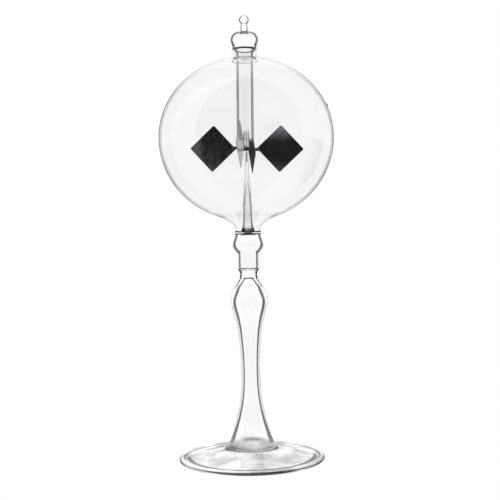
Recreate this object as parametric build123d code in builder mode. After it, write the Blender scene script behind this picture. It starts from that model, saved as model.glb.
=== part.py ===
"""Crookes radiometer, an all-glass light-mill.

A blown globe on a hollow baluster stem and a round foot. Inside, four vanes of blackened mica turn on a
steel needle, kept there by a guide tube that hangs from the crown. Millimetres, +Z up, and the axis of
the lathe-turned glass is the Z axis, with the foot's ground rim at Z = 0.

Outlines are (radius, height) pairs, drawn on the XZ plane and revolved about Z.
"""

from build123d import *
from math import acos, asin, cos, degrees, radians, sin, sqrt
import os

# ---------------------------------------------------------------- driving dimensions

# Foot
foot_radius = 39.2
foot_bead = 1.4  # section radius of the rolled rim
foot_flat = 1.2  # width of the ground ring that the foot stands on
foot_glass = 1.7
seat_height = 6.8  # top of the foot where the stem is fused to it
punt_height = 12.0  # raised dome of the foot inside the stem

# Stem
stem_foot_radius = 14.3
stem_foot_bore = 12.6
stem_waist_radius = 5.05
stem_waist_bore = 3.65
stem_waist_height = 48.0
stem_belly_radius = 9.95
stem_belly_bore = 8.1
stem_belly_height = 86.6
stem_top_height = 99.0
stem_top_radius = 4.6
stem_bore_top = 98.1

# Solid constriction, neck tube and knop
neck_radius = 5.7
neck_bore = 4.75
neck_floor = 102.9
neck_top = 111.2
knop_radius = 8.4
knop_wall = 0.85
knop_belly_height = 116.2
knop_waist_radius = 7.15
knop_waist_height = 120.5

# Ring seal that closes the globe and carries the spindle
seal_height = 122.3
seal_glass = 0.6
seal_radius = 7.65
seal_land = 6.8  # where the wall tubes above and below are centred on it

# Globe
globe_radius = 47.1
globe_centre = 173.5
globe_rise = 43.2  # half axis above the centre
globe_drop = 45.0  # half axis below the centre
globe_glass = 0.8
globe_neck_radius = 7.0
globe_neck_height = 125.2
globe_taper_height = 134.0  # the round bowl turns into the funnel of the neck here

# Seal-off tip on the side of the globe
tip_height = 190.4
tip_base = 2.3
tip_length = 1.3
tip_waist = 1.1

# Crown
collar_radius = 6.8
collar_bore = 6.0
collar_top = 221.6
cap_radius = 7.5
cap_glass = 0.5
cap_pinch = 6.5
cap_pinch_height = 223.0
cap_belly_height = 226.4
cap_shoulder = 4.0  # radius where the flat top turns into the rounded shoulder
cap_top = 230.5
finial_base = 2.4
finial_stalk = 1.8
finial_ball = 2.6
total_height = 240.0

# Guide tube
guide_radius = 4.6
guide_bore = 3.7
guide_bottom = 172.5
guide_flare_height = 218.4

# Spindle and needle
spindle_top = 165.5
spindle_tip_radius = 0.95
spindle_foot_radius = 2.9
spindle_foot_height = 126.0
spindle_bore_foot = 2.2
spindle_bore_top = 150.4
needle_radius = 0.35
needle_bottom = 160.5
needle_point = 176.2
needle_taper = 2.4

# Rotor
rotor_turn = -9.5  # degrees, seen from above, from the X axis to the first vane
vane_count = 4
vane_side = 18.0
vane_corner = 0.7
vane_distance = 18.4  # axis to the middle of a vane
vane_height = 167.7
mica_glass = 0.2
soot_coat = 0.08
soot_margin = 0.15
vane_leans = (-3.0, 1.0, 2.8, -1.0)  # degrees in its own plane, as hung by hand
vane_rises = (-0.6, 0.5, 0.6, 0.5)  # of each arm and vane from the middle of the binding wire

cup_radius = 1.6
cup_bore = 1.0
cup_bottom = 166.6
cup_top = 177.4
cup_play = 0.05  # between the needle's point and the roof of the cup

band_turns = 4
band_wire = 0.22  # radius of the binding wire

arm_radius = 0.22
clip_length = 2.6
clip_height = 1.7
clip_metal = 0.18
clip_nose = 0.8  # solid metal ahead of the vane's corner

os.makedirs("parts", exist_ok=True)


def write(piece, label):
    """Label a finished piece and write it to its own file."""
    piece.part.label = label
    export_step(piece.part, f"parts/{label}.step")


# ---------------------------------------------------------------- glass foot

bead_centre_height = sqrt(foot_bead**2 - (foot_flat / 2) ** 2)
bead_centre_radius = foot_radius - foot_bead
brim_radius = foot_radius * 0.64  # half way out on the plate
brim_height = 3.5


def bead_point(angle):
    """A point of the rolled rim's section, from its centre, in degrees."""
    turn = radians(angle)
    return (
        bead_centre_radius + foot_bead * cos(turn),
        bead_centre_height + foot_bead * sin(turn),
    )


with BuildPart() as foot_disc:
    with BuildSketch(Plane.XZ):
        with BuildLine():
            ground = Line(
                (bead_centre_radius - foot_flat / 2, 0), (bead_centre_radius + foot_flat / 2, 0)
            )
            rim = ThreePointArc(ground @ 1, bead_point(0), bead_point(135))
            top = Spline(
                rim @ 1,
                (brim_radius, brim_height),
                (stem_foot_radius, seat_height),
                tangents=[(-1.0, -0.25), (-1.0, 0.42)],
            )
            seat = Line(top @ 1, (stem_foot_bore, seat_height))
            dome = Spline(
                seat @ 1,
                (stem_foot_bore * 0.55, seat_height + 0.78 * (punt_height - seat_height)),
                (0, punt_height),
                tangents=[(-0.7, 0.7), (-1, 0)],
            )
            middle = Line(dome @ 1, (0, punt_height - foot_glass))
            under = Spline(
                middle @ 1,
                (stem_foot_bore * 0.6, seat_height + 1.0),
                (stem_foot_radius, seat_height - foot_glass),
                (brim_radius, brim_height - foot_glass + 0.1),
                bead_point(190),
                tangents=[(1, 0), (1, -0.05)],
            )
            ThreePointArc(under @ 1, bead_point(220), ground @ 0)
        make_face()
    revolve(axis=Axis.Z)
write(foot_disc, "foot_disc")

# ---------------------------------------------------------------- hollow stem

with BuildPart() as stem:
    with BuildSketch(Plane.XZ):
        with BuildLine():
            outside = Spline(
                (stem_foot_radius, seat_height),
                (8.9, 18.5),
                (6.0, 31.5),
                (stem_waist_radius, stem_waist_height),
                (5.9, 65.0),
                (8.3, 78.0),
                (stem_belly_radius, stem_belly_height),
                (8.7, 92.0),
                (stem_top_radius, stem_top_height),
                tangents=[(-0.75, 0.75), (-0.3, 1.0)],
            )
            Polyline(outside @ 1, (0, stem_top_height), (0, seat_height), outside @ 0)
        make_face()
    revolve(axis=Axis.Z)
    with BuildSketch(Plane.XZ):
        with BuildLine():
            bore = Spline(
                (stem_foot_bore, seat_height),
                (7.6, 18.5),
                (4.65, 31.5),
                (stem_waist_bore, stem_waist_height),
                (4.5, 65.5),
                (6.6, 78.0),
                (stem_belly_bore, stem_belly_height - 1.0),
                (6.3, 91.2),
                (2.9, 96.6),
                (0, stem_bore_top),
                tangents=[(-0.75, 0.75), (-1, 0.0)],
            )
            Polyline(bore @ 1, (0, seat_height), bore @ 0)
        make_face()
    revolve(axis=Axis.Z, mode=Mode.SUBTRACT)
write(stem, "stem")

# ---------------------------------------------------------------- solid constriction

with BuildPart() as stem_plug:
    with BuildSketch(Plane.XZ):
        with BuildLine():
            waist = Spline(
                (stem_top_radius, stem_top_height),
                (stem_top_radius - 0.05, stem_top_height + 1.5),
                (neck_radius, neck_floor),
                tangents=[(-0.25, 1.0), (0.35, 1.0)],
            )
            Polyline(waist @ 1, (0, neck_floor), (0, stem_top_height), waist @ 0)
        make_face()
    revolve(axis=Axis.Z)
write(stem_plug, "stem_plug")

# ---------------------------------------------------------------- neck tube

with BuildPart() as neck_tube:
    with BuildSketch(Plane.XY.offset(neck_floor)):
        Circle(neck_radius)
        Circle(neck_bore, mode=Mode.SUBTRACT)
    extrude(amount=neck_top - neck_floor)
write(neck_tube, "neck_tube")

# ---------------------------------------------------------------- knop

seal_bottom = seal_height - seal_glass / 2
seal_roof = seal_height + seal_glass / 2
land_outer = seal_land + knop_wall / 2
land_inner = seal_land - knop_wall / 2

with BuildPart() as knop:
    with BuildSketch(Plane.XZ):
        with BuildLine():
            outside = Spline(
                (neck_radius, neck_top),
                (7.3, 113.0),
                (knop_radius, knop_belly_height),
                (knop_waist_radius, knop_waist_height),
                (land_outer, seal_bottom),
                tangents=[(0.25, 1.0), (0.35, 1.0)],
            )
            Polyline(outside @ 1, (0, seal_bottom), (0, neck_top), outside @ 0)
        make_face()
    revolve(axis=Axis.Z)
    with BuildSketch(Plane.XZ):
        with BuildLine():
            bore = Spline(
                (neck_bore, neck_top),
                (7.3 - knop_wall, 113.3),
                (knop_radius - knop_wall, knop_belly_height),
                (knop_waist_radius - knop_wall, knop_waist_height),
                (land_inner, seal_bottom),
                tangents=[(0.25, 1.0), (0.35, 1.0)],
            )
            Polyline(bore @ 1, (0, seal_bottom), (0, neck_top), bore @ 0)
        make_face()
    revolve(axis=Axis.Z, mode=Mode.SUBTRACT)
write(knop, "knop")

# ---------------------------------------------------------------- ring seal

with BuildPart() as spindle_seal:
    with BuildSketch(Plane.XZ):
        with BuildLine():
            floor = Line((spindle_bore_foot, seal_bottom), (land_outer, seal_bottom))
            edge = ThreePointArc(
                floor @ 1, (seal_radius, seal_height), (land_outer, seal_roof)
            )
            Polyline(edge @ 1, (spindle_bore_foot, seal_roof), floor @ 0)
        make_face()
    revolve(axis=Axis.Z)
write(spindle_seal, "spindle_seal")

# ---------------------------------------------------------------- globe


def globe_outline(inset):
    """Draw a skin of the globe, inset from the outside, from the crown to the seal and the axis."""
    middle = (0, globe_centre)
    radius = globe_radius - inset
    rise = globe_rise - inset
    drop = globe_drop - inset
    collar_angle = degrees(acos(collar_radius / radius))
    taper_angle = degrees(asin((globe_taper_height - globe_centre) / drop))
    taper_tangent = (radius * sin(radians(taper_angle)), -drop * cos(radians(taper_angle)))
    crown = EllipticalCenterArc(middle, radius, rise, arc_size=collar_angle)
    bowl = EllipticalCenterArc(middle, radius, drop, taper_angle, arc_size=-taper_angle)
    funnel = Spline(
        bowl @ 0,
        (9.6 - 0.4 * inset, 128.1 + inset),
        (globe_neck_radius - inset, globe_neck_height),
        (land_outer - inset, seal_roof),
        tangents=[taper_tangent, (0.4, -1.0)],
    )
    Polyline(crown @ 1, (0, (crown @ 1).Y), (0, seal_roof), funnel @ 1)


with BuildPart() as globe:
    with BuildSketch(Plane.XZ):
        with BuildLine():
            globe_outline(0)
        make_face()
    revolve(axis=Axis.Z)
    with BuildSketch(Plane.XZ):
        with BuildLine():
            globe_outline(globe_glass)
        make_face()
    revolve(axis=Axis.Z, mode=Mode.SUBTRACT)
    with BuildSketch(Plane.XY.offset(globe_centre)):
        Circle(collar_radius)
    extrude(amount=globe_rise, mode=Mode.SUBTRACT)
write(globe, "globe")

# ---------------------------------------------------------------- seal-off tip

tip_sine = (tip_height - globe_centre) / globe_rise
tip_root = Vector(globe_radius * sqrt(1 - tip_sine**2), 0, tip_height)
tip_normal = Vector(tip_root.X / globe_radius**2, 0, (tip_height - globe_centre) / globe_rise**2)
tip_plane = Plane(origin=tip_root, x_dir=(0, 1, 0), z_dir=tip_normal)
tip_section = Plane(origin=tip_root, x_dir=tip_plane.x_dir, z_dir=tip_plane.y_dir * -1)
tip_sink = 0.3  # the nipple starts under the globe's skin and is trimmed to it

with BuildPart() as seal_off_tip:
    with BuildSketch(tip_section):
        with BuildLine():
            root = Line((0, -tip_sink), (tip_base, -tip_sink))
            flank = Spline(
                root @ 1,
                (tip_waist, tip_length * 0.55),
                (0, tip_length),
                tangents=[(-1.0, 0.35), (-1, 0)],
            )
            Line(flank @ 1, root @ 0)
        make_face()
    revolve(axis=Axis(tip_root, tip_normal))
    with BuildSketch(Plane.XZ):
        with BuildLine():
            globe_outline(0)
        make_face()
    revolve(axis=Axis.Z, mode=Mode.SUBTRACT)
write(seal_off_tip, "seal_off_tip")

# ---------------------------------------------------------------- collar at the crown

collar_bottom = globe_centre + (globe_rise - globe_glass) * sqrt(
    1 - (collar_radius / (globe_radius - globe_glass)) ** 2
)

with BuildPart() as top_collar:
    with BuildSketch(Plane.XY.offset(collar_bottom)):
        Circle(collar_radius)
        Circle(collar_bore, mode=Mode.SUBTRACT)
    extrude(amount=collar_top - collar_bottom)
write(top_collar, "top_collar")

# ---------------------------------------------------------------- hollow cap

crown_centre = (cap_shoulder, cap_belly_height)  # of the shoulder's quarter ellipse

with BuildPart() as top_cap:
    with BuildSketch(Plane.XZ):
        with BuildLine():
            foot = Line((0, collar_top), (collar_radius, collar_top))
            waist = Spline(
                foot @ 1,
                (cap_pinch, cap_pinch_height),
                (cap_radius, cap_belly_height),
                tangents=[(-1.0, 0.5), (0, 1)],
            )
            crown = EllipticalCenterArc(
                crown_centre,
                cap_radius - cap_shoulder,
                cap_top - cap_belly_height,
                arc_size=90,
            )
            Polyline(crown @ 1, (0, cap_top), foot @ 0)
        make_face()
    revolve(axis=Axis.Z)
    with BuildSketch(Plane.XZ):
        with BuildLine():
            mouth = Line((0, collar_top), (cap_pinch - cap_glass, collar_top))
            throat = Line(mouth @ 1, (cap_pinch - cap_glass, cap_pinch_height))
            waist = Spline(
                throat @ 1,
                (cap_radius - cap_glass, cap_belly_height),
                tangents=[(0, 1), (0, 1)],
            )
            crown = EllipticalCenterArc(
                crown_centre,
                cap_radius - cap_glass - cap_shoulder,
                cap_top - cap_glass - cap_belly_height,
                arc_size=90,
            )
            Polyline(crown @ 1, (0, cap_top - cap_glass), mouth @ 0)
        make_face()
    revolve(axis=Axis.Z, mode=Mode.SUBTRACT)
write(top_cap, "top_cap")

# ---------------------------------------------------------------- finial

ball_centre = total_height - finial_ball
ball_neck = sqrt(finial_ball**2 - finial_stalk**2)

with BuildPart() as finial:
    with BuildSketch(Plane.XZ):
        with BuildLine():
            base = Line((0, cap_top), (finial_base, cap_top))
            stalk = Spline(
                base @ 1,
                (finial_stalk, cap_top + 2.4),
                (finial_stalk, ball_centre - ball_neck),
                tangents=[(-0.6, 1.0), (0, 1)],
            )
            ball = ThreePointArc(stalk @ 1, (finial_ball, ball_centre), (0, total_height))
            Line(ball @ 1, base @ 0)
        make_face()
    revolve(axis=Axis.Z)
write(finial, "finial")

# ---------------------------------------------------------------- guide tube

with BuildPart() as guide_tube:
    with BuildSketch(Plane.XZ):
        with BuildLine():
            lip = ThreePointArc(
                (guide_bore, guide_bottom + 0.4),
                ((guide_bore + guide_radius) / 2, guide_bottom),
                (guide_radius, guide_bottom + 0.4),
            )
            wall = Line(lip @ 1, (guide_radius, guide_flare_height))
            flare = Spline(
                wall @ 1, (collar_bore, collar_top - 0.9), tangents=[(0, 1), (1.0, 0.45)]
            )
            edge = Line(flare @ 1, (collar_bore, collar_top))
            Spline(
                edge @ 1, (guide_bore, guide_flare_height), tangents=[(-1.0, -0.45), (0, -1)]
            )
            Line((guide_bore, guide_flare_height), lip @ 0)
        make_face()
    revolve(axis=Axis.Z)
write(guide_tube, "guide_tube")

# ---------------------------------------------------------------- spindle

with BuildPart() as spindle:
    with BuildSketch(Plane.XZ):
        with BuildLine():
            foot = Line((0, seal_roof), (5.2, seal_roof))
            taper = Spline(
                foot @ 1,
                (spindle_foot_radius, spindle_foot_height),
                (2.2, 138.0),
                (1.2, 152.0),
                (spindle_tip_radius, spindle_top - 1.0),
                tangents=[(-1.0, 0.25), (-0.02, 1.0)],
            )
            tip = ThreePointArc(
                taper @ 1,
                (spindle_tip_radius * 0.82, spindle_top - 0.3),
                (needle_radius, spindle_top),
            )
            Polyline(tip @ 1, (0, spindle_top), foot @ 0)
        make_face()
    revolve(axis=Axis.Z)
    with BuildSketch(Plane.XZ):
        with BuildLine():
            mouth = Line((0, seal_roof), (spindle_bore_foot, seal_roof))
            cone = Spline(
                mouth @ 1,
                (1.35, 138.0),
                (0, spindle_bore_top),
                tangents=[(-0.02, 1.0), (-0.25, 1.0)],
            )
            Line(cone @ 1, mouth @ 0)
        make_face()
    revolve(axis=Axis.Z, mode=Mode.SUBTRACT)
    with BuildSketch(Plane.XY.offset(needle_bottom)):
        Circle(needle_radius)
    extrude(amount=spindle_top - needle_bottom, mode=Mode.SUBTRACT)
write(spindle, "spindle")

# ---------------------------------------------------------------- needle

with BuildPart() as needle:
    with BuildSketch(Plane.XZ):
        with BuildLine():
            Polyline(
                (0, needle_bottom),
                (needle_radius, needle_bottom),
                (needle_radius, needle_point - needle_taper),
                (0.06, needle_point - 0.05),
                (0, needle_point),
                (0, needle_bottom),
            )
        make_face()
    revolve(axis=Axis.Z)
write(needle, "needle")

# ---------------------------------------------------------------- bearing cup

cup_roof = needle_point + cup_play
cup_wall = cup_radius - cup_bore

with BuildPart() as bearing_cup:
    with BuildSketch(Plane.XZ):
        with BuildLine():
            rim = ThreePointArc(
                (cup_bore, cup_bottom + cup_wall / 2),
                (cup_bore + cup_wall / 2, cup_bottom),
                (cup_radius, cup_bottom + cup_wall / 2),
            )
            side = Line(rim @ 1, (cup_radius, cup_top - cup_radius))
            dome = ThreePointArc(
                side @ 1,
                (cup_radius * cos(radians(45)), cup_top - cup_radius * (1 - sin(radians(45)))),
                (0, cup_top),
            )
            axis_line = Line(dome @ 1, (0, cup_roof))
            roof = Spline(
                axis_line @ 1,
                (cup_bore, cup_roof - 1.6),
                tangents=[(1.0, -0.3), (0, -1)],
            )
            Line(roof @ 1, rim @ 0)
        make_face()
    revolve(axis=Axis.Z)
write(bearing_cup, "bearing_cup")

# ---------------------------------------------------------------- binding wire on the cup

band_bottom = vane_height - band_turns * band_wire

with BuildPart() as hub_band:
    with BuildSketch(Plane.XZ):
        with BuildLine():
            back = Line(
                (cup_radius, band_bottom), (cup_radius, band_bottom + 2 * band_turns * band_wire)
            )
            crest = cup_radius + 2 * band_wire
            valley = cup_radius + band_wire
            Line(back @ 0, (valley, band_bottom))
            for turn in range(band_turns):
                low = band_bottom + 2 * turn * band_wire
                ThreePointArc(
                    (valley, low), (crest, low + band_wire), (valley, low + 2 * band_wire)
                )
            Line((valley, band_bottom + 2 * band_turns * band_wire), back @ 1)
        make_face()
    revolve(axis=Axis.Z)
write(hub_band, "hub_band")

# ---------------------------------------------------------------- arms, vanes, coats and clips

plate_corner = vane_distance - vane_side / sqrt(2)  # the square's inner corner before rounding
nose_end = plate_corner - clip_nose


def vane_plane(number, side=0.0):
    """Plane of a vane: X away from the axis, Y up, its normal clockwise seen from above."""
    turn = radians(rotor_turn + 360 / vane_count * number)
    outwards = Vector(cos(turn), sin(turn), 0)
    clockwise = Vector(sin(turn), -cos(turn), 0)
    return Plane(
        origin=outwards * vane_distance
        + clockwise * side
        + Vector(0, 0, vane_height + vane_rises[number]),
        x_dir=outwards,
        z_dir=clockwise,
    )


def vane_outline(number, margin=0.0):
    """Draw the square of a vane, standing on its corner and leaning as it hangs."""
    RectangleRounded(
        vane_side - 2 * margin,
        vane_side - 2 * margin,
        vane_corner,
        rotation=45 + vane_leans[number],
    )


for number in range(vane_count):
    name = number + 1

    with BuildPart() as vane:
        with BuildSketch(vane_plane(number, -mica_glass / 2)):
            vane_outline(number)
        extrude(amount=mica_glass)
    write(vane, f"vane_{name}")

    with BuildPart() as soot:
        with BuildSketch(vane_plane(number, mica_glass / 2)):
            vane_outline(number, soot_margin)
        extrude(amount=soot_coat)
    write(soot, f"soot_{name}")

    slot_back = -mica_glass / 2
    slot_front = mica_glass / 2 + soot_coat
    clip_middle = nose_end + clip_length / 2 - vane_distance
    with BuildPart() as clip:
        with BuildSketch(vane_plane(number, slot_back - clip_metal)):
            with Locations((clip_middle, 0)):
                RectangleRounded(clip_length, clip_height, 0.3)
        extrude(amount=slot_front - slot_back + 2 * clip_metal)
        with BuildSketch(vane_plane(number, slot_back)):
            vane_outline(number)
        extrude(amount=slot_front - slot_back, mode=Mode.SUBTRACT)
    write(clip, f"clip_{name}")

    arm_plane = vane_plane(number)
    arm_inner = cup_radius + band_wire
    arm_root = arm_plane.from_local_coords(Vector(arm_inner - vane_distance, 0, 0))
    with BuildPart() as arm:
        with BuildSketch(Plane(origin=arm_root, x_dir=(0, 0, 1), z_dir=arm_plane.x_dir)):
            Circle(arm_radius)
        extrude(amount=nose_end - arm_inner)
        with BuildSketch(Plane.XY.offset(band_bottom - arm_radius)):
            Circle(crest)
        extrude(amount=2 * (band_turns * band_wire + arm_radius), mode=Mode.SUBTRACT)
    write(arm, f"arm_{name}")
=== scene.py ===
"""Studio scene of the Crookes radiometer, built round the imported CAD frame.

The blown and drawn glass is turned here as closed skins, on outlines read from the CAD nodes' own seams.
Pieces that are melted together in the real thing share one skin, because fused glass shows no joint.
"""

import math

import bmesh
import bpy
import numpy as np
from mathutils import Matrix, Vector


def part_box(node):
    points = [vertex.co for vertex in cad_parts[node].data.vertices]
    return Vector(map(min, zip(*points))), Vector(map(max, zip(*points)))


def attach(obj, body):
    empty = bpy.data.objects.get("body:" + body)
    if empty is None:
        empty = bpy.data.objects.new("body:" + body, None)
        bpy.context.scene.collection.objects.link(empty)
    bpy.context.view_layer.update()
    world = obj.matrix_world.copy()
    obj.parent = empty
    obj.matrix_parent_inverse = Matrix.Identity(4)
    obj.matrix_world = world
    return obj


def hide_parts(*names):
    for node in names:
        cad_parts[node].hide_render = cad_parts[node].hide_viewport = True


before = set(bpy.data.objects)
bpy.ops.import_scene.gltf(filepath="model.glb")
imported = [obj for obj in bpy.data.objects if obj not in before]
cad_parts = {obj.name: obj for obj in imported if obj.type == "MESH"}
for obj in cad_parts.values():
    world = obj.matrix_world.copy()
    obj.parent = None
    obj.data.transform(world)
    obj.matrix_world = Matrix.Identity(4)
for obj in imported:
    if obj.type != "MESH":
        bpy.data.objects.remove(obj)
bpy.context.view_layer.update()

MM = 0.001
SEAM_GRID = 1e7  # steps to the metre: vertices closer than a tenth of a micron are one
SEAM_SLACK = 2  # grid steps that a seam's vertex may lie off its plane
SAME_PLACE = 1e-9  # metres
scene = bpy.context.scene

# ---------------------------------------------------------------- camera

CAMERA_PLACE = Vector((0.0009, -0.510, 0.113))
CAMERA_ROLL = math.radians(-1.08)
CAMERA_LENS = 68.0  # with a sensor 36 wide
GLASS_BOUNCES = 28  # surfaces of glass that a ray may cross

camera_data = bpy.data.cameras.new("camera")
camera_data.sensor_width = 36.0
camera_data.lens = CAMERA_LENS
camera_data.clip_start = 0.01
camera = bpy.data.objects.new("camera", camera_data)
camera.matrix_world = (
    Matrix.Translation(CAMERA_PLACE)
    @ Matrix.Rotation(math.radians(90), 4, "X")
    @ Matrix.Rotation(CAMERA_ROLL, 4, "Z")
)
scene.collection.objects.link(camera)
scene.camera = camera
scene.view_settings.view_transform = "Standard"
scene.cycles.max_bounces = GLASS_BOUNCES
scene.cycles.transmission_bounces = GLASS_BOUNCES
scene.cycles.transparent_max_bounces = 16

# ---------------------------------------------------------------- small node helpers


class Nodes:
    """A node tree with short ways to add and join nodes."""

    def __init__(self, owner):
        owner.use_nodes = True
        self.tree = owner.node_tree
        self.tree.nodes.clear()

    def add(self, kind, inputs=None, **settings):
        node = self.tree.nodes.new(kind)
        for key, value in settings.items():
            setattr(node, key, value)
        for key, value in (inputs or {}).items():
            if isinstance(value, bpy.types.NodeSocket):
                self.tree.links.new(value, node.inputs[key])
            else:
                node.inputs[key].default_value = value
        return node

    def math(self, operation, first, second=0.0, third=0.0):
        node = self.add("ShaderNodeMath", {0: first, 1: second, 2: third}, operation=operation)
        return node.outputs[0]

    def step(self, value, low, high, out_low=0.0, out_high=1.0):
        """Smooth ramp of a value from low to high."""
        node = self.add(
            "ShaderNodeMapRange",
            {"Value": value, "From Min": low, "From Max": high, "To Min": out_low, "To Max": out_high},
            interpolation_type="SMOOTHSTEP",
        )
        return node.outputs["Result"]

    def darken(self, level, mask, share):
        """Take a share off the level where the mask is 1."""
        left = self.math("SUBTRACT", 1.0, self.math("MULTIPLY", mask, share))
        return self.math("MULTIPLY", level, left)

    def mix(self, factor, first, second):
        node = self.add("ShaderNodeMix", {"Factor": factor}, data_type="RGBA")
        for socket, value in ((node.inputs[6], first), (node.inputs[7], second)):
            if isinstance(value, bpy.types.NodeSocket):
                self.tree.links.new(value, socket)
            else:
                socket.default_value = value
        return node.outputs[2]

    def noise(self, scale, detail=2.0, stretch=(1, 1, 1), roughness=0.5):
        place = self.add("ShaderNodeTexCoord").outputs["Object"]
        place = self.add("ShaderNodeMapping", {"Vector": place, "Scale": stretch}).outputs[0]
        return self.add(
            "ShaderNodeTexNoise",
            {"Vector": place, "Scale": scale, "Detail": detail, "Roughness": roughness},
        ).outputs["Fac"]

    def bump(self, height, distance):
        inputs = {"Height": height, "Distance": distance, "Strength": 1.0}
        return self.add("ShaderNodeBump", inputs).outputs[0]


def grey(value, tint=(1.0, 1.0, 1.0)):
    return (value * tint[0], value * tint[1], value * tint[2], 1.0)


# ---------------------------------------------------------------- glass

INDEX = 1.42  # a little under soda glass, so that the edges stay as thin as they look on fine old glass
CLEAR = grey(1.0, (0.998, 1.0, 0.999))
PAINTED_EDGE_SHADE = (0.05, 0.032, 0.03, 1.0)  # colour of the shade painted at the glass's edges and bore lines
TURNING = (0.50, 0.95)  # facing values between which the faint grey of the body clears
BORE_LINE = (0.19, 0.25, 0.29, 0.37)  # facing values where the painted dark line inside a wall rises and falls
FAINT_EDGE = 0.75  # level of the painted edge shade where it lies off its belt
STREAK_EDGE = (0.42, 0.66)  # noise values where a grey mark begins and is full


def glass(name, body, edge_start, edge_end, edge, waviness, bore=0.0, streaks=0.0, rough=0.0, belt=None):
    """Clear soda glass, faintly grey face on, with shade painted where it turns away.

    body is the level of light face on, and edge the level of the painted edge shade where it has turned
    away, which it does between the facing values edge_start and edge_end. A bore also has a painted dark
    line of shade inside a thick wall. Streaks are the grey marks left by pressing and joining hot glass.
    The painted edge shade is full only near the middle height of the belt, which is given with its full and
    its faint half height, all in millimetres.
    The waviness is how far the cords of drawn tube lift the surface.
    """
    material = bpy.data.materials.new(name)
    nodes = Nodes(material)
    facing = nodes.add("ShaderNodeLayerWeight", {"Blend": 0.5}).outputs["Facing"]
    face_on = nodes.step(facing, *TURNING, body, 1.0)
    if belt is not None:
        # the painted edge shade is full near the belt's middle height and fainter off it
        place = nodes.add("ShaderNodeTexCoord").outputs["Object"]
        height = nodes.add("ShaderNodeSeparateXYZ", {0: place}).outputs["Z"]
        middle, full, faint = (part * MM for part in belt)
        away = nodes.math("ABSOLUTE", nodes.math("SUBTRACT", height, middle))
        edge = nodes.step(away, full, faint, edge, FAINT_EDGE)
    # painted shade: the colour darkens towards the edges, where the glass turns away
    on_edge = nodes.step(facing, edge_start, edge_end, 1.0, edge)
    level = nodes.math("MULTIPLY", face_on, on_edge)
    if bore:
        # painted shade: a dark line inside the wall of a bore
        inside = nodes.add("ShaderNodeNewGeometry").outputs["Backfacing"]
        rising = nodes.step(facing, *BORE_LINE[:2])
        falling = nodes.step(facing, *BORE_LINE[2:], 1.0, 0.0)
        line = nodes.math("MULTIPLY", nodes.math("MULTIPLY", rising, falling), inside)
        level = nodes.darken(level, line, bore)
    if streaks:
        marks = nodes.step(nodes.noise(75, detail=2.5, stretch=(1.0, 1.0, 3.0)), *STREAK_EDGE)
        level = nodes.darken(level, marks, streaks)
    colour = nodes.mix(level, PAINTED_EDGE_SHADE, CLEAR)
    cords = nodes.noise(60, stretch=(1.0, 1.0, 0.25))
    normal = nodes.bump(cords, waviness)
    shader = nodes.add(
        "ShaderNodeBsdfGlass", {"Color": colour, "Roughness": rough, "IOR": INDEX, "Normal": normal}
    )
    nodes.add("ShaderNodeOutputMaterial", {"Surface": shader.outputs[0]})
    return material


def opaque(name, colour, roughness, metallic=0.0, normal=None, specular=0.5):
    """Mica, soot or metal. A colour, roughness or normal may be a function that makes its nodes."""
    material = bpy.data.materials.new(name)
    nodes = Nodes(material)
    colour, roughness, normal = (
        value(nodes) if callable(value) else value for value in (colour, roughness, normal)
    )
    inputs = {"Base Color": colour, "Roughness": roughness, "Metallic": metallic}
    inputs["Specular IOR Level"] = specular
    if normal:
        inputs["Normal"] = normal
    shader = nodes.add("ShaderNodeBsdfPrincipled", inputs)
    nodes.add("ShaderNodeOutputMaterial", {"Surface": shader.outputs[0]})
    return material


# The numbers are body, edge_start, edge_end, edge (the painted edge shade) and waviness, which is in
# metres.
STEM_GLASS = glass("stem_glass", 0.95, 0.70, 1.0, 0.50, 0.00005)
BORE_GLASS = glass("bore_glass", 0.95, 0.80, 1.0, 0.50, 0.00003, bore=0.92)
FOOT_GLASS = glass("foot_glass", 0.90, 0.94, 1.0, 0.65, 0.00012, streaks=0.26)
DOME_GLASS = glass("dome_glass", 0.97, 0.90, 1.0, 0.80, 0.00014, streaks=0.15, rough=0.30)
SPINDLE_GLASS = glass("spindle_glass", 0.98, 0.28, 0.78, 0.12, 0.00002, bore=0.85)
CAP_GLASS = glass("cap_glass", 0.97, 0.80, 1.0, 0.40, 0.00004)
PLUG_GLASS = glass("plug_glass", 0.97, 0.20, 0.60, 0.05, 0.00004)
HOLLOW_GLASS = glass("hollow_glass", 0.97, 0.80, 0.97, 0.40, 0.00003, bore=0.97)
FINIAL_GLASS = glass("finial_glass", 0.97, 0.16, 0.56, 0.0, 0.00004, belt=(234.3, 3.4, 5.4))
GUIDE_GLASS = glass("guide_glass", 1.0, 0.80, 1.0, 0.60, 0.00004, bore=0.85)
RIM_GLASS = glass("rim_glass", 0.30, 0.10, 0.90, 0.40, 0.00005)
GLOBE_GLASS = glass("globe_glass", 0.930, 0.76, 0.93, 0.15, 0.00003, belt=(173.5, 20, 42))

MICA = opaque(
    "silvered_mica",
    lambda n: n.mix(
        n.step(n.noise(420, detail=5.0, stretch=(1.0, 1.0, 0.35), roughness=0.6), 0.35, 0.75),
        grey(0.42),
        grey(0.20, (1.0, 0.97, 0.93)),
    ),
    lambda n: n.step(n.noise(900, detail=3.0), 0.3, 0.8, 0.10, 0.26),
    metallic=1.0,
    normal=lambda n: n.bump(n.noise(260, detail=3.0, stretch=(1.0, 1.0, 0.5)), 0.00004),
)
VANE_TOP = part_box("vane_1")[1].z
PAINTED_SHEEN_FROM, PAINTED_SHEEN_TO = VANE_TOP - 6 * MM, VANE_TOP + 3 * MM  # heights between which the painted sheen comes in


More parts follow.
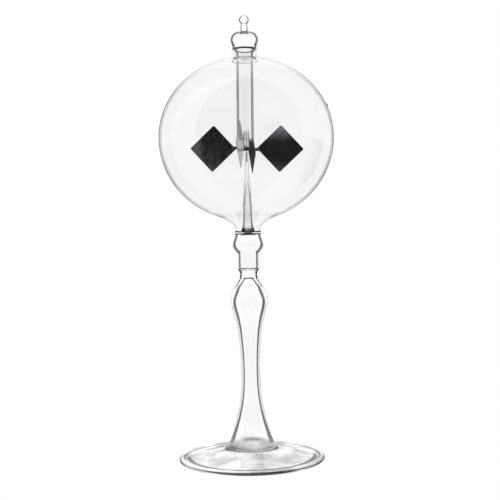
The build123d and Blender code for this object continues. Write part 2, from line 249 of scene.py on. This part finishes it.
def soot_and_painted_sheen(nodes):
    """Lampblack, with a blue-grey sheen painted on towards the top corner."""
    place = nodes.add("ShaderNodeTexCoord").outputs["Object"]
    height = nodes.add("ShaderNodeSeparateXYZ", {0: place}).outputs["Z"]
    cloud = nodes.noise(330, detail=4.0, roughness=0.6)
    height = nodes.math("MULTIPLY_ADD", cloud, 6 * MM, height)
    # painted sheen: the soot's colour turns lighter and blue-grey towards the top of each vane
    painted_sheen = nodes.step(height, PAINTED_SHEEN_FROM, PAINTED_SHEEN_TO)
    grain = nodes.step(nodes.noise(2500), 0.35, 0.7)
    black = nodes.mix(grain, grey(0.006), grey(0.014))
    return nodes.mix(painted_sheen, black, grey(0.17, (0.92, 0.97, 1.1)))


SOOT_AND_PAINTED_SHEEN = opaque(
    "lampblack",
    soot_and_painted_sheen,
    0.85,
    normal=lambda n: n.bump(n.noise(3000, detail=3.0), 0.00005),
    specular=0.15,
)
STEEL = opaque(
    "needle_steel",
    lambda n: n.mix(
        n.step(n.noise(500, detail=3.0, stretch=(1, 1, 0.2)), 0.4, 0.8),
        grey(0.62),
        grey(0.42),
    ),
    lambda n: n.step(n.noise(1500, stretch=(1, 1, 0.1)), 0.3, 0.7, 0.25, 0.45),
    metallic=0.6,
)
WIRE = opaque(
    "dark_wire",
    lambda n: n.mix(n.step(n.noise(900, detail=3.0), 0.4, 0.7), grey(0.030), grey(0.09, (1.0, 0.85, 0.7))),
    lambda n: n.step(n.noise(1800), 0.3, 0.7, 0.35, 0.6),
    metallic=0.8,
)
CLIP_METAL = opaque(
    "clip_metal",
    lambda n: n.mix(n.step(n.noise(700, detail=4.0), 0.45, 0.7), grey(0.22), grey(0.07, (1.0, 0.9, 0.8))),
    lambda n: n.step(n.noise(1500, detail=3.0), 0.3, 0.7, 0.3, 0.5),
    metallic=0.9,
)

# ---------------------------------------------------------------- outlines from the CAD seams

# Corners of the CAD outlines, each (radius, height) in millimetres. A run goes from the seam's vertex that
# is nearest to one corner to the vertex that is nearest to another.
UNDERSIDE = (0, 10.3)
RING_INSIDE = (37.2, 0)
RING_OUTSIDE = (38.4, 0)
PUNT = (0, 12.0)
SEAT_BORE = (12.6, 6.8)
SEAT = (14.3, 6.8)
STEM_BORE_TOP = (0, 98.1)
STEM_TOP = (4.6, 99.0)
NECK_FLOOR = (0, 102.9)
NECK_BORE_FOOT = (4.75, 102.9)
NECK_FOOT = (5.7, 102.9)
NECK_BORE_TOP = (4.75, 111.2)
NECK_TOP = (5.7, 111.2)
KNOP_BORE_TOP = (6.375, 122.0)
KNOP_TOP = (7.225, 122.0)

SEAL_BORE_FOOT = (2.2, 122.0)
SEAL_BORE_TOP = (2.2, 122.6)
SEAL_EDGE = (7.225, 122.6)
SPINDLE_BORE_TOP = (0, 150.4)
SPINDLE_FOOT = (5.2, 122.6)
NEEDLE_SEAT = (0.35, 165.5)
SPINDLE_TOP = (0, 165.5)

GLOBE_BORE_FOOT = (6.425, 122.6)
GLOBE_CROWN = (6.8, 216.3)
COLLAR_BORE_TOP = (6.0, 221.6)
COLLAR_TOP = (6.8, 221.6)
PINCH_BORE = (6.0, 223.0)
CEILING_MIDDLE = (0, 230.0)
CEILING_EDGE = (4.0, 230.0)
CAP_SHOULDER = (4.0, 230.5)
FINIAL_FOOT = (2.4, 230.5)
FINIAL_TOP = (0, 240.0)

GUIDE_BORE_FOOT = (3.7, 172.9)
GUIDE_FOOT = (4.6, 172.9)
FLARE_BORE_FOOT = (3.7, 218.4)
FLARE_FOOT = (4.6, 218.4)
FLARE_EDGE = (6.0, 220.7)
CUP_ROOF = (0, 176.25)
CUP_MOUTH = (1.0, 166.9)
CUP_TOP = (0, 177.4)

GLOBE_RADIUS = 47.1
GLOBE_CENTRE = 173.5
GLOBE_RISE = 43.2  # half axis above the centre


def seam(node):
    """Which vertices of a lathe node's seam (y = 0, x >= 0) are joined to which."""
    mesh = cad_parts[node].data
    keys = [tuple(round(c * SEAM_GRID) for c in vertex.co) for vertex in mesh.vertices]
    joined = {}
    for edge in mesh.edges:
        first, second = (keys[index] for index in edge.vertices)
        on_seam = all(abs(k[1]) <= SEAM_SLACK and k[0] >= -SEAM_SLACK for k in (first, second))
        if on_seam and first != second:
            joined.setdefault(first, set()).add(second)
            joined.setdefault(second, set()).add(first)
    return joined


def run(node, start, end):
    """The seam's points in metres, from near one corner to near another, by the shortest way."""
    joined = seam(node)

    def nearest(point):
        x, z = (c * MM * SEAM_GRID for c in point)
        return min(joined, key=lambda k: (k[0] - x) ** 2 + (k[2] - z) ** 2)

    first, last = nearest(start), nearest(end)
    came_from = {first: None}
    queue = [first]
    while queue and last not in came_from:
        here = queue.pop(0)
        for there in sorted(joined[here]):
            if there not in came_from:
                came_from[there] = here
                queue.append(there)
    path = [last]
    while came_from[path[-1]] is not None:
        path.append(came_from[path[-1]])
    return np.array([(max(k[0], 0), k[2]) for k in reversed(path)]) / SEAM_GRID


def straight(*corners):
    """The corners themselves, which straight lines join."""
    return np.array(corners) * MM


def smooth_run(points, step):
    """A cubic curve through the points, sampled about every step."""
    if len(points) < 3:
        count = max(2, int(np.linalg.norm(points[-1] - points[0]) / step) + 1)
        return np.linspace(points[0], points[-1], count)
    gaps = np.linalg.norm(np.diff(points, axis=0), axis=1)
    slopes = np.diff(points, axis=0) / gaps[:, None]
    tangents = np.empty_like(points)
    weights = (gaps[1:] / (gaps[1:] + gaps[:-1]))[:, None]
    tangents[1:-1] = slopes[:-1] * weights + slopes[1:] * (1 - weights)
    tangents[0] = 2 * slopes[0] - tangents[1]
    tangents[-1] = 2 * slopes[-1] - tangents[-2]
    result = [points[:1]]
    for i, gap in enumerate(gaps):
        count = max(1, round(gap / step))
        t = (np.arange(1, count + 1) / count)[:, None]
        a, b = points[i], points[i + 1]
        curve = (
            (2 * t**3 - 3 * t**2 + 1) * a
            + (t**3 - 2 * t**2 + t) * gap * tangents[i]
            + (3 * t**2 - 2 * t**3) * b
            + (t**3 - t**2) * gap * tangents[i + 1]
        )
        result.append(curve)
    return np.concatenate(result)


def outline(runs, step, rounding, loop):
    """Join smooth runs to one outline, spaced evenly, with its corners rounded as a flame leaves them."""
    points = np.concatenate([smooth_run(np.asarray(r), step) for r in runs])
    if loop:
        points = np.concatenate([points, points[:1]])
    gaps = np.linalg.norm(np.diff(points, axis=0), axis=1)
    along = np.concatenate([[0], np.cumsum(gaps)])
    keep = np.concatenate([[True], gaps > SAME_PLACE])
    along, points = along[keep], points[keep]
    count = int(along[-1] / step) + 1
    even = np.linspace(0, along[-1], count)
    points = np.stack([np.interp(even, along, points[:, k]) for k in (0, 1)], axis=1)
    reach = int(3 * rounding / step) + 1
    kernel = np.exp(-0.5 * (np.arange(-reach, reach + 1) * step / rounding) ** 2)
    kernel /= kernel.sum()
    if loop:
        points = points[:-1]
        padded = np.concatenate([points[-reach:], points, points[:reach]])
    else:
        before = points[reach:0:-1] * (-1, 1)  # mirrored across the axis
        after = points[-2 : -reach - 2 : -1] * (-1, 1)
        padded = np.concatenate([before, points, after])
    smooth = np.stack([np.convolve(padded[:, k], kernel, "valid") for k in (0, 1)], axis=1)
    if not loop:
        smooth[0, 0] = smooth[-1, 0] = 0.0
    return smooth


def turned_mesh(name, outlines, segments, wobble=None):
    """A closed skin turned about Z. Each outline is (points, loop), with the glass on its left."""
    mesh = bmesh.new()
    angles = np.arange(segments) * 2 * math.pi / segments
    for points, loop in outlines:
        rings = []
        for radius, height in points:
            if radius <= SAME_PLACE:
                rings.append([mesh.verts.new((0, 0, height))])
                continue
            ring = []
            for angle in angles:
                r, shift = radius, Vector((0, 0, 0))
                if wobble:
                    r, shift = wobble(radius, height, angle)
                place = Vector((r * math.cos(angle), r * math.sin(angle), height)) + shift
                ring.append(mesh.verts.new(place))
            rings.append(ring)
        pairs = list(zip(rings, rings[1:]))
        if loop:
            pairs.append((rings[-1], rings[0]))
        for low, high in pairs:
            for k in range(segments):
                n = (k + 1) % segments
                corners = [low[k % len(low)], low[n % len(low)], high[n % len(high)], high[k % len(high)]]
                mesh.faces.new(list(dict.fromkeys(corners)))
    data = bpy.data.meshes.new(name)
    mesh.to_mesh(data)
    mesh.free()
    data.polygons.foreach_set("use_smooth", [True] * len(data.polygons))
    return data


def add_material(data, material, wanted):
    """Give a mesh one more material, on the faces whose middle and normal are wanted."""
    data.materials.append(material)
    index = len(data.materials) - 1
    for face in data.polygons:
        if wanted(face.center, face.normal):
            face.material_index = index


def inward(centre, normal):
    return centre.x * normal.x + centre.y * normal.y < 0


def piece(name, data, material, body, nodes):
    """Put glass, which throws no shadow, in the scene to ride on a body and stand for CAD nodes."""
    made = bpy.data.objects.new(name, data)
    scene.collection.objects.link(made)
    data.materials.clear()
    data.materials.append(material)
    made.visible_shadow = False
    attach(made, body)
    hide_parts(*nodes)
    return made


def hand_worked(radius, height, angle):
    """The slight ovals and drift of glass turned by hand in a flame."""
    z = height / MM
    oval = OVAL * math.sin(2 * angle + 0.06 * z) + THREE_SIDED * math.sin(3 * angle - 0.11 * z)
    drift = DRIFT * math.sin(0.045 * z) * min(1.0, z / DRIFT_FROM)
    return radius * (1 + oval), Vector((drift * MM, -0.6 * drift * MM, 0))


def blown(radius, height, angle):
    """The globe is rounder than the stem, with long shallow waves."""
    z = height / MM
    wave = GLOBE_OVAL * math.sin(2 * angle + 0.8) + GLOBE_THREE_SIDED * math.sin(3 * angle + 0.05 * z)
    return radius * (1 + wave), Vector((0, 0, 0))


OVAL, THREE_SIDED = 0.0045, 0.002  # shares of the radius
GLOBE_OVAL, GLOBE_THREE_SIDED = 0.0010, 0.0006
DRIFT = 0.10  # millimetres off the axis
DRIFT_FROM = 30  # height in millimetres below which the drift dies out towards the table
GAP = 0.02 * MM  # between pieces that are sealed together, so that no faces coincide

# ---------------------------------------------------------------- foot, stem and knop

PLATE_EDGE = 36.3  # radius where the plate runs into the rolled rim
PLATE_GLASS = 1.7  # at the stem
PLATE_TAPER = 0.012  # loss of thickness by radius
THINNED_HEIGHTS = (9 * MM, 22 * MM)  # from the full loss of the stem's wall to none
THINNED_BY = (0.9 * MM, 0.0)
AXIS_REACH = 1 * MM  # points of the bore nearer to the axis than this belong to its roof

outer_runs = [
    run("foot_disc", UNDERSIDE, RING_INSIDE),
    run("foot_disc", RING_OUTSIDE, SEAT),
    run("stem", SEAT, STEM_TOP),
    run("stem_plug", STEM_TOP, NECK_FOOT),
    run("neck_tube", NECK_FOOT, NECK_TOP),
    run("knop", NECK_TOP, KNOP_TOP),
    run("knop", KNOP_BORE_TOP, NECK_BORE_TOP),
    run("neck_tube", NECK_BORE_TOP, NECK_BORE_FOOT),
    straight(NECK_BORE_FOOT, NECK_FLOOR),
]
bore_wall = run("stem", STEM_BORE_TOP, SEAT_BORE)
punt = run("foot_disc", SEAT_BORE, PUNT)

under, upper = outer_runs[0], outer_runs[1][::-1]
plate = (under[:, 0] > SEAT[0] * MM) & (under[:, 0] < PLATE_EDGE * MM)
thickness = PLATE_GLASS * MM - PLATE_TAPER * (under[plate, 0] - SEAT[0] * MM)
under[plate, 1] = np.interp(under[plate, 0], upper[:, 0], upper[:, 1]) - thickness
thinned = np.interp(bore_wall[:, 1], THINNED_HEIGHTS, THINNED_BY)
bore_wall[:, 0] += thinned * (bore_wall[:, 0] > AXIS_REACH)

skin = outline(outer_runs, step=0.42 * MM, rounding=0.45 * MM, loop=False)
skin[:, 1] = np.clip(skin[:, 1], GAP, KNOP_TOP[1] * MM - GAP)
cavity = outline([bore_wall, punt], step=0.42 * MM, rounding=0.45 * MM, loop=False)
stem = piece(
    "foot_and_stem",
    turned_mesh("foot_and_stem", [(skin, False), (cavity, False)], segments=128, wobble=hand_worked),
    STEM_GLASS,
    "glass_body",
    ["foot_disc", "stem", "stem_plug", "neck_tube", "knop"],
)

seat = SEAT[1] * MM
weld = 9.5 * MM
dome_top = 12.2 * MM
rim_low = 121.5 * MM
plug_low, plug_high = 98.6 * MM, 102.6 * MM


def on_bore(centre, normal):
    return weld < centre.z < rim_low and inward(centre, normal)


def on_dome(centre, normal):
    within = seat < centre.z < dome_top and math.hypot(centre.x, centre.y) < SEAT_BORE[0] * MM
    return within and (centre.z < weld or not inward(centre, normal))


add_material(stem.data, RIM_GLASS, lambda centre, normal: centre.z > rim_low)
add_material(stem.data, BORE_GLASS, on_bore)
add_material(stem.data, PLUG_GLASS, lambda centre, normal: plug_low < centre.z < plug_high)
add_material(stem.data, FOOT_GLASS, lambda centre, normal: centre.z < weld)
add_material(stem.data, DOME_GLASS, on_dome)

# ---------------------------------------------------------------- spindle and its ring seal

SEAL_RIM = 6.2 * MM  # radius beyond which the seal lies in the wall

spindle_runs = [
    run("spindle", SPINDLE_BORE_TOP, SEAL_BORE_TOP),
    straight(SEAL_BORE_TOP, SEAL_BORE_FOOT),
    straight(SEAL_BORE_FOOT, KNOP_TOP),
    run("spindle_seal", KNOP_TOP, SEAL_EDGE),
    straight(SEAL_EDGE, SPINDLE_FOOT),
    run("spindle", SPINDLE_FOOT, NEEDLE_SEAT),
    straight(NEEDLE_SEAT, SPINDLE_TOP),
]
spindle_skin = outline(spindle_runs, step=0.15 * MM, rounding=0.15 * MM, loop=False)
spindle = piece(
    "spindle_and_seal",
    turned_mesh("spindle_and_seal", [(spindle_skin, False)], segments=96),
    SPINDLE_GLASS,
    "glass_body",
    ["spindle", "spindle_seal"],
)
add_material(spindle.data, RIM_GLASS, lambda centre, normal: math.hypot(centre.x, centre.y) > SEAL_RIM)

# ---------------------------------------------------------------- globe and collar

GLOBE_RIM_TOP = 123.0 * MM

collar_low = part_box("top_collar")[0].z / MM
globe_runs = [
    run("globe", SEAL_EDGE, GLOBE_CROWN),
    run("top_collar", GLOBE_CROWN, COLLAR_TOP),
    straight(COLLAR_TOP, COLLAR_BORE_TOP),
    run("top_collar", COLLAR_BORE_TOP, (COLLAR_BORE_TOP[0], collar_low)),
    run("globe", (COLLAR_TOP[0], collar_low), GLOBE_BORE_FOOT),
]
shell = outline(globe_runs, step=0.6 * MM, rounding=0.35 * MM, loop=True)
shell[:, 1] = np.clip(shell[:, 1], SEAL_EDGE[1] * MM + GAP, COLLAR_TOP[1] * MM - GAP)
globe = piece(
    "globe_and_collar",
    turned_mesh("globe_and_collar", [(shell, True)], segments=192, wobble=blown),
    GLOBE_GLASS,
    "glass_body",
    ["globe", "top_collar"],
)
add_material(globe.data, RIM_GLASS, lambda centre, normal: centre.z < GLOBE_RIM_TOP)

# ---------------------------------------------------------------- seal-off tip

# The button of glass left by the flame, as (radius, height above the globe) in millimetres
TIP_POINTS = [(0, -0.1), (1.2, -0.05), (2.2, 0.0), (1.9, 0.22), (1.2, 0.62), (0.7, 1.0), (0, 1.15)]
TIP_SINK = 0.45  # from the middle of the CAD's tip down to the globe, in millimetres

tip_low, tip_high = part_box("seal_off_tip")
tip_middle = (tip_low + tip_high) / 2
tip_rise = tip_middle.z - GLOBE_CENTRE * MM
tip_normal = Vector((tip_middle.x / GLOBE_RADIUS**2, 0, tip_rise / GLOBE_RISE**2)).normalized()
tip_outline = outline([straight(*TIP_POINTS)], step=0.1 * MM, rounding=0.12 * MM, loop=False)
tip = turned_mesh("seal_off_tip", [(tip_outline, False)], segments=64)
tip_turn = tip_normal.to_track_quat("Z", "Y").to_matrix().to_4x4()
tip.transform(Matrix.Translation(tip_middle - tip_normal * TIP_SINK * MM) @ tip_turn)
piece("seal_off", tip, PLUG_GLASS, "glass_body", ["seal_off_tip"])

# ---------------------------------------------------------------- cap and finial

HOLLOW = Vector((0, 0, 226.2 * MM))  # a point inside the hollow of the cap
HOLLOW_TOP = 230.2 * MM  # between its ceiling and the top of the cap
FINIAL_LOW = 230.6 * MM

cap_runs = [
    straight(CEILING_MIDDLE, CEILING_EDGE),
    run("top_cap", CEILING_EDGE, PINCH_BORE),
    run("top_cap", PINCH_BORE, COLLAR_BORE_TOP),
    straight(COLLAR_BORE_TOP, COLLAR_TOP),
    run("top_cap", COLLAR_TOP, CAP_SHOULDER),
    run("finial", FINIAL_FOOT, FINIAL_TOP),
]
cap_skin = outline(cap_runs, step=0.15 * MM, rounding=0.14 * MM, loop=False)
cap_skin[:, 1] = np.clip(cap_skin[:, 1], COLLAR_TOP[1] * MM + GAP, None)
cap = piece(
    "cap_and_finial",
    turned_mesh("cap_and_finial", [(cap_skin, False)], segments=96, wobble=hand_worked),
    CAP_GLASS,
    "glass_body",
    ["top_cap", "finial"],
)


def on_hollow(centre, normal):
    return centre.z < HOLLOW_TOP and (centre - HOLLOW).dot(normal) < 0


add_material(cap.data, FINIAL_GLASS, lambda centre, normal: centre.z > FINIAL_LOW)
add_material(cap.data, HOLLOW_GLASS, on_hollow)

# ---------------------------------------------------------------- guide tube

GUIDE_TILT = math.radians(0.55)

guide_runs = [
    run("guide_tube", GUIDE_FOOT, FLARE_FOOT),
    run("guide_tube", FLARE_FOOT, FLARE_EDGE),
    straight(FLARE_EDGE, COLLAR_BORE_TOP),
    run("guide_tube", COLLAR_BORE_TOP, FLARE_BORE_FOOT),
    run("guide_tube", FLARE_BORE_FOOT, GUIDE_BORE_FOOT),
    run("guide_tube", GUIDE_BORE_FOOT, GUIDE_FOOT),
]
guide = outline(guide_runs, step=0.25 * MM, rounding=0.15 * MM, loop=True)
guide[:, 0] = np.minimum(guide[:, 0], COLLAR_BORE_TOP[0] * MM - GAP)
guide_mesh = turned_mesh("guide_tube", [(guide, True)], segments=96)
guide_hang = Vector((0, 0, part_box("guide_tube")[1].z))
guide_turn = Matrix.Rotation(GUIDE_TILT, 4, "Y")
guide_mesh.transform(Matrix.Translation(guide_hang) @ guide_turn @ Matrix.Translation(-guide_hang))
piece("hanging_guide", guide_mesh, GUIDE_GLASS, "glass_body", ["guide_tube"])

# ---------------------------------------------------------------- bearing cup

cup_runs = [run("bearing_cup", CUP_ROOF, CUP_MOUTH), run("bearing_cup", CUP_MOUTH, CUP_TOP)]
cup_skin = outline(cup_runs, step=0.08 * MM, rounding=0.06 * MM, loop=False)
cup_mesh = turned_mesh("cup", [(cup_skin, False)], segments=64)
piece("cup", cup_mesh, SPINDLE_GLASS, "rotor", ["bearing_cup"])

# ---------------------------------------------------------------- materials of the carried-over nodes

for name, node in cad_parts.items():
    for prefix, material in (
        ("vane", MICA),
        ("soot", SOOT_AND_PAINTED_SHEEN),
        ("needle", STEEL),
        ("arm", WIRE),
        ("hub_band", WIRE),
        ("clip", CLIP_METAL),
    ):
        if name.startswith(prefix):
            node.data.materials.clear()
            node.data.materials.append(material)

# ---------------------------------------------------------------- floor and studio

SIDE = 30.0  # half of the floor's side, in metres

floor_data = bpy.data.meshes.new("floor")
floor_corners = [(-SIDE, -SIDE, 0), (SIDE, -SIDE, 0), (SIDE, SIDE, 0), (-SIDE, SIDE, 0)]
floor_data.from_pydata(floor_corners, [], [(0, 1, 2, 3)])
floor = bpy.data.objects.new("floor", floor_data)
scene.collection.objects.link(floor)


def azimuths(nodes, place):
    """A way to ask whether a direction or place is in a sector seen from above, and its height."""
    axes = nodes.add("ShaderNodeSeparateXYZ", {0: place}).outputs
    squares = [nodes.math("MULTIPLY", axes[k], axes[k]) for k in ("X", "Y")]
    across = nodes.math("SQRT", nodes.math("ADD", *squares))
    across = nodes.math("MAXIMUM", across, 0.0001)  # so that it can be divided by

    def sector(towards, half, soft):
        """1 within half of an azimuth and 0 beyond the soft edge, in degrees from +Y towards +X."""
        turn = math.radians(towards)
        along = nodes.math("MULTIPLY", axes["X"], math.sin(turn))
        along = nodes.math("MULTIPLY_ADD", axes["Y"], math.cos(turn), along)
        along = nodes.math("DIVIDE", along, across)
        low, high = (math.cos(math.radians(angle)) for angle in (half + soft, half))
        return nodes.step(along, low, high)

    return sector, axes["Z"]


def paths(nodes):
    """Whether the camera sees a place directly, and whether a mirror image of it is seen."""
    path = nodes.add("ShaderNodeLightPath").outputs
    return path["Is Camera Ray"], nodes.math("GREATER_THAN", path["Glossy Depth"], 0.5)


def blend(nodes, factor, first, second):
    """First where the factor is 0, second where it is 1."""
    rest = nodes.math("MULTIPLY", nodes.math("SUBTRACT", 1.0, factor), first)
    return nodes.math("MULTIPLY_ADD", factor, second, rest)


# The camera sees a white sweep, and so does what comes straight through the glass. What the glass and
# the metal mirror is the studio: bright screens and a ceiling on the far side, and a dark room on the
# camera's side.
WHITE = 1.0  # to the camera
SCREEN = 1.3
FAR_WALL = SCREEN * 0.8
SWEEP_TOP = SCREEN * 0.6  # of the sweep through the glass, overhead
ROOM = 0.015
CEILING = 1.0
TABLE = 1.25  # through the glass
TABLE_NEAR, TABLE_FAR = 0.9, 0.06  # mirrored in the glass
TABLE_FADE = (0.13, 0.28)  # metres from the axis
BEHIND, LEFT = 0, -90  # azimuths of the two screens
CEILING_RISE = (0.10, 0.20)  # heights of a direction, which is 0 at the horizon and 1 overhead
SWEEP_RISE = (0.50, 0.62)

floor_material = bpy.data.materials.new("floor")
nodes = Nodes(floor_material)
place = nodes.add("ShaderNodeTexCoord").outputs["Object"]
sector, height = azimuths(nodes, place)
seen, mirrored = paths(nodes)
reach = nodes.add("ShaderNodeVectorMath", {0: place}, operation="LENGTH").outputs["Value"]
near = nodes.step(reach, *TABLE_FADE, TABLE_NEAR, TABLE_FAR)
for towards, half in ((BEHIND, 55), (LEFT, 22)):
    lit = nodes.math("MULTIPLY", sector(towards, half, soft=12), TABLE_NEAR)
    near = nodes.math("MAXIMUM", near, lit)
level = blend(nodes, seen, blend(nodes, mirrored, TABLE, near), WHITE)
glow = nodes.add("ShaderNodeEmission", {"Color": grey(1.0), "Strength": level})
nodes.add("ShaderNodeOutputMaterial", {"Surface": glow.outputs[0]})
floor_data.materials.append(floor_material)

world = bpy.data.worlds.new("studio")
scene.world = world
nodes = Nodes(world)
sector, height = azimuths(nodes, nodes.add("ShaderNodeTexCoord").outputs["Generated"])
seen, mirrored = paths(nodes)
far_side = sector(BEHIND, half=95, soft=15)
room = blend(nodes, far_side, ROOM, FAR_WALL)
for towards in (BEHIND, LEFT):
    lit = nodes.math("MULTIPLY", sector(towards, half=20, soft=4), SCREEN)
    room = nodes.math("MAXIMUM", room, lit)
ceiling = nodes.math("MULTIPLY", nodes.step(height, *CEILING_RISE, 0.0, CEILING), far_side)
room = nodes.math("MAXIMUM", room, ceiling)
sweep = nodes.step(height, *SWEEP_RISE, SCREEN, SWEEP_TOP)
level = blend(nodes, seen, blend(nodes, mirrored, sweep, room), WHITE)
background = nodes.add("ShaderNodeBackground", {"Color": grey(1.0), "Strength": level})
nodes.add("ShaderNodeOutputWorld", {"Surface": background.outputs[0]})

LAMP_PLACE = Vector((0.5, -0.9, 1.3))
LAMP_AIM = Vector((0, 0, 0.15))

lamp_data = bpy.data.lights.new("softbox", "AREA")
lamp_data.shape = "RECTANGLE"
lamp_data.size = lamp_data.size_y = 1.2
lamp_data.energy = 18.0
lamp = bpy.data.objects.new("softbox", lamp_data)
lamp.location = LAMP_PLACE
lamp.rotation_euler = (LAMP_AIM - lamp.location).to_track_quat("-Z", "Y").to_euler()
lamp.visible_camera = lamp.visible_transmission = lamp.visible_glossy = False
scene.collection.objects.link(lamp)
